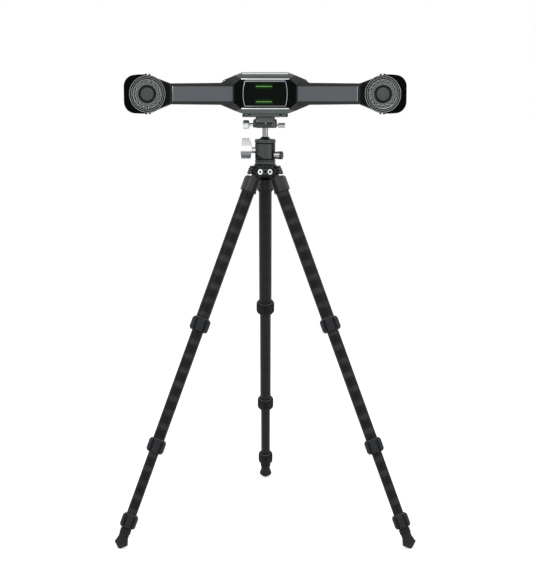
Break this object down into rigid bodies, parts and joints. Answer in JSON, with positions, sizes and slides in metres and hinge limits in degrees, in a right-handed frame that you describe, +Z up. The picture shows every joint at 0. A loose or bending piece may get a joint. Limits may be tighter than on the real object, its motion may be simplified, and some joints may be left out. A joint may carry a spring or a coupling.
{
  "type": "three-dimensional scanner",
  "caption": "Stereo optical tracker bar with lit camera pods, on a clamp and ball head over a folding carbon tripod with twist locks.",
  "frame": {"origin": "centre of the footprint on the floor, under the middle of the bounding box", "axes": "+Z up, the cameras look along -Y, +X to the right as seen from the front"},
  "size_m": [0.7254, 0.6328, 1.1353],
  "materials": {
    "carbon_tube": "woven carbon fibre, satin lacquer",
    "black_rubber": "moulded rubber, matt",
    "black_casting": "black anodised casting, satin",
    "black_plastic": "moulded plastic, fine texture",
    "grey_panel": "moulded plastic panel, satin grey",
    "bright_metal": "polished",
    "knob_metal": "turned, clear anodised",
    "smoked_window": "smoked clear plastic over a dark display",
    "grey_casting": "dark grey anodised, satin",
    "lamp_ring": "grey plastic ring with clear lamps",
    "lens_glass": "filter glass in a black rim"
  },
  "bodies": {
    "crown": {"crown": "black_casting", "top_plate": "black_casting", "crown_bolts": "bright_metal", "pan_base": "grey_casting"},
    "left_leg": {"left_leg_head": "black_casting", "left_tube_1": "carbon_tube"},
    "left_stop": {"left_stop_tab": "bright_metal"},
    "left_collar_1": {"left_twist_collar_1": "black_rubber"},
    "left_collar_2": {"left_twist_collar_2": "black_rubber"},
    "left_collar_3": {"left_twist_collar_3": "black_rubber"},
    "left_section_2": {"left_tube_2": "carbon_tube"},
    "left_section_3": {"left_tube_3": "carbon_tube"},
    "left_section_4": {"left_tube_4": "carbon_tube", "left_foot": "black_rubber"},
    "right_leg": {"right_leg_head": "black_casting", "right_tube_1": "carbon_tube"},
    "right_stop": {"right_stop_tab": "bright_metal"},
    "right_collar_1": {"right_twist_collar_1": "black_rubber"},
    "right_collar_2": {"right_twist_collar_2": "black_rubber"},
    "right_collar_3": {"right_twist_collar_3": "black_rubber"},
    "right_section_2": {"right_tube_2": "carbon_tube"},
    "right_section_3": {"right_tube_3": "carbon_tube"},
    "right_section_4": {"right_tube_4": "carbon_tube", "right_foot": "black_rubber"},
    "rear_leg": {"rear_leg_head": "black_casting", "rear_tube_1": "carbon_tube"},
    "rear_stop": {"rear_stop_tab": "bright_metal"},
    "rear_collar_1": {"rear_twist_collar_1": "black_rubber"},
    "rear_collar_2": {"rear_twist_collar_2": "black_rubber"},
    "rear_collar_3": {"rear_twist_collar_3": "black_rubber"},
    "rear_section_2": {"rear_tube_2": "carbon_tube"},
    "rear_section_3": {"rear_tube_3": "carbon_tube"},
    "rear_section_4": {"rear_tube_4": "carbon_tube", "rear_foot": "black_rubber"},
    "head": {"head_housing": "grey_casting"},
    "main_knob": {"main_lock_knob": "knob_metal"},
    "pan_knob": {"pan_lock_knob": "knob_metal"},
    "ball": {"ball": "black_casting"},
    "stem": {"stem": "bright_metal"},
    "clamp": {"clamp_body": "grey_casting"},
    "jaw": {"clamp_jaw": "grey_casting"},
    "jaw_knob": {"clamp_knob": "knob_metal"},
    "side_knob": {"clamp_side_knob": "knob_metal"},
    "tracker": {"base_plate": "grey_casting", "front_housing": "black_plastic", "rear_cover": "black_plastic", "front_trim": "bright_metal", "top_cover": "black_plastic", "display_window": "smoked_window", "connector_panel": "grey_casting", "arm_panels": "grey_panel", "pod_bands": "black_plastic", "left_arm": "black_plastic", "left_pod_housing": "black_plastic", "left_pod_bezel": "lamp_ring", "left_lens": "lens_glass", "right_arm": "black_plastic", "right_pod_housing": "black_plastic", "right_pod_bezel": "lamp_ring", "right_lens": "lens_glass"}
  },
  "joints": [
    {"name": "left_leg_fold", "type": "hinge", "parent": "crown", "child": "left_leg", "pos_m": [-0.02399, -0.11355, 0.89498], "axis": [-0.5, 0.866, 0], "range_deg": [-22.5, 0]},
    {"name": "left_stop_release", "type": "slide", "parent": "left_leg", "child": "left_stop", "axis": [-0.7978, -0.4606, 0.3891], "range_m": [0, 0.005], "stiffness_N_per_m": 400, "springref_m": -0.004},
    {"name": "left_twist_lock_1", "type": "hinge", "parent": "left_leg", "child": "left_collar_1", "pos_m": [-0.15841, -0.19116, 0.52752], "axis": [-0.337, -0.1946, -0.9212], "range_deg": [0, 120]},
    {"name": "left_twist_lock_2", "type": "hinge", "parent": "left_section_2", "child": "left_collar_2", "pos_m": [-0.26345, -0.2518, 0.24038], "axis": [-0.337, -0.1946, -0.9212], "range_deg": [0, 120]},
    {"name": "left_twist_lock_3", "type": "hinge", "parent": "left_section_3", "child": "left_collar_3", "pos_m": [-0.32792, -0.28902, 0.06416], "axis": [-0.337, -0.1946, -0.9212], "range_deg": [0, 120]},
    {"name": "left_extend_2", "type": "slide", "parent": "left_leg", "child": "left_section_2", "axis": [-0.337, -0.1946, -0.9212], "range_m": [-0.276, 0]},
    {"name": "left_extend_3", "type": "slide", "parent": "left_section_2", "child": "left_section_3", "axis": [-0.337, -0.1946, -0.9212], "range_m": [-0.155, 0.118]},
    {"name": "left_extend_4", "type": "slide", "parent": "left_section_3", "child": "left_section_4", "axis": [-0.337, -0.1946, -0.9212], "range_m": [0, 0.28]},
    {"name": "right_leg_fold", "type": "hinge", "parent": "crown", "child": "right_leg", "pos_m": [0.02399, -0.11355, 0.89498], "axis": [-0.5, -0.866, 0], "range_deg": [-22.5, 0]},
    {"name": "right_stop_release", "type": "slide", "parent": "right_leg", "child": "right_stop", "axis": [0.7978, -0.4606, 0.3891], "range_m": [0, 0.005], "stiffness_N_per_m": 400, "springref_m": -0.004},
    {"name": "right_twist_lock_1", "type": "hinge", "parent": "right_leg", "child": "right_collar_1", "pos_m": [0.15841, -0.19116, 0.52752], "axis": [0.337, -0.1946, -0.9212], "range_deg": [0, 120]},
    {"name": "right_twist_lock_2", "type": "hinge", "parent": "right_section_2", "child": "right_collar_2", "pos_m": [0.26345, -0.2518, 0.24038], "axis": [0.337, -0.1946, -0.9212], "range_deg": [0, 120]},
    {"name": "right_twist_lock_3", "type": "hinge", "parent": "right_section_3", "child": "right_collar_3", "pos_m": [0.32792, -0.28902, 0.06416], "axis": [0.337, -0.1946, -0.9212], "range_deg": [0, 120]},
    {"name": "right_extend_2", "type": "slide", "parent": "right_leg", "child": "right_section_2", "axis": [0.337, -0.1946, -0.9212], "range_m": [-0.276, 0]},
    {"name": "right_extend_3", "type": "slide", "parent": "right_section_2", "child": "right_section_3", "axis": [0.337, -0.1946, -0.9212], "range_m": [-0.155, 0.118]},
    {"name": "right_extend_4", "type": "slide", "parent": "right_section_3", "child": "right_section_4", "axis": [0.337, -0.1946, -0.9212], "range_m": [0, 0.28]},
    {"name": "rear_leg_fold", "type": "hinge", "parent": "crown", "child": "rear_leg", "pos_m": [0, -0.072, 0.89498], "axis": [1, 0, 0], "range_deg": [-22.5, 0]},
    {"name": "rear_stop_release", "type": "slide", "parent": "rear_leg", "child": "rear_stop", "axis": [0, 0.9212, 0.3891], "range_m": [0, 0.005], "stiffness_N_per_m": 400, "springref_m": -0.004},
    {"name": "rear_twist_lock_1", "type": "hinge", "parent": "rear_leg", "child": "rear_collar_1", "pos_m": [0, 0.08322, 0.52752], "axis": [0, 0.3891, -0.9212], "range_deg": [0, 120]},
    {"name": "rear_twist_lock_2", "type": "hinge", "parent": "rear_section_2", "child": "rear_collar_2", "pos_m": [0, 0.20451, 0.24038], "axis": [0, 0.3891, -0.9212], "range_deg": [0, 120]},
    {"name": "rear_twist_lock_3", "type": "hinge", "parent": "rear_section_3", "child": "rear_collar_3", "pos_m": [0, 0.27895, 0.06416], "axis": [0, 0.3891, -0.9212], "range_deg": [0, 120]},
    {"name": "rear_extend_2", "type": "slide", "parent": "rear_leg", "child": "rear_section_2", "axis": [0, 0.3891, -0.9212], "range_m": [-0.276, 0]},
    {"name": "rear_extend_3", "type": "slide", "parent": "rear_section_2", "child": "rear_section_3", "axis": [0, 0.3891, -0.9212], "range_m": [-0.155, 0.118]},
    {"name": "rear_extend_4", "type": "slide", "parent": "rear_section_3", "child": "rear_section_4", "axis": [0, 0.3891, -0.9212], "range_m": [0, 0.28]},
    {"name": "head_pan", "type": "hinge", "parent": "crown", "child": "head", "pos_m": [0, -0.0997, 0.91888], "axis": [0, 0, 1], "continuous": true},
    {"name": "main_lock", "type": "hinge", "parent": "head", "child": "main_knob", "pos_m": [-0.0328, -0.0997, 0.94648], "axis": [-1, 0, 0], "range_deg": [0, 180]},
    {"name": "pan_lock", "type": "hinge", "parent": "head", "child": "pan_knob", "pos_m": [0.02448, -0.10959, 0.93438], "axis": [0.9272, -0.3746, 0], "range_deg": [0, 270]},
    {"name": "ball_tilt", "type": "hinge", "parent": "head", "child": "ball", "pos_m": [0, -0.0997, 0.96298], "axis": [1, 0, 0], "range_deg": [-25, 25]},
    {"name": "ball_lean", "type": "hinge", "parent": "ball", "child": "stem", "pos_m": [0, -0.0997, 0.96298], "axis": [0, 1, 0], "range_deg": [-15, 25]},
    {"name": "ball_turn", "type": "hinge", "parent": "stem", "child": "clamp", "pos_m": [0, -0.0997, 1.00088], "axis": [0, 0, 1], "continuous": true},
    {"name": "jaw_slide", "type": "slide", "parent": "clamp", "child": "jaw", "axis": [-1, 0, 0], "range_m": [0, 0.0025]},
    {"name": "jaw_screw", "type": "hinge", "parent": "jaw", "child": "jaw_knob", "pos_m": [-0.0294, -0.0997, 1.00848], "axis": [-1, 0, 0], "range_deg": [0, 720]},
    {"name": "side_screw", "type": "hinge", "parent": "clamp", "child": "side_knob", "pos_m": [0.0316, -0.0997, 1.00668], "axis": [1, 0, 0], "range_deg": [0, 300]},
    {"name": "plate_slide", "type": "slide", "parent": "clamp", "child": "tracker", "axis": [0, 1, 0], "range_m": [-0.015, 0.015]}
  ],
  "couplings": [
    {"joint": "jaw_screw", "follows": "jaw_slide", "rad_per_m": 5026.5}
  ]
}
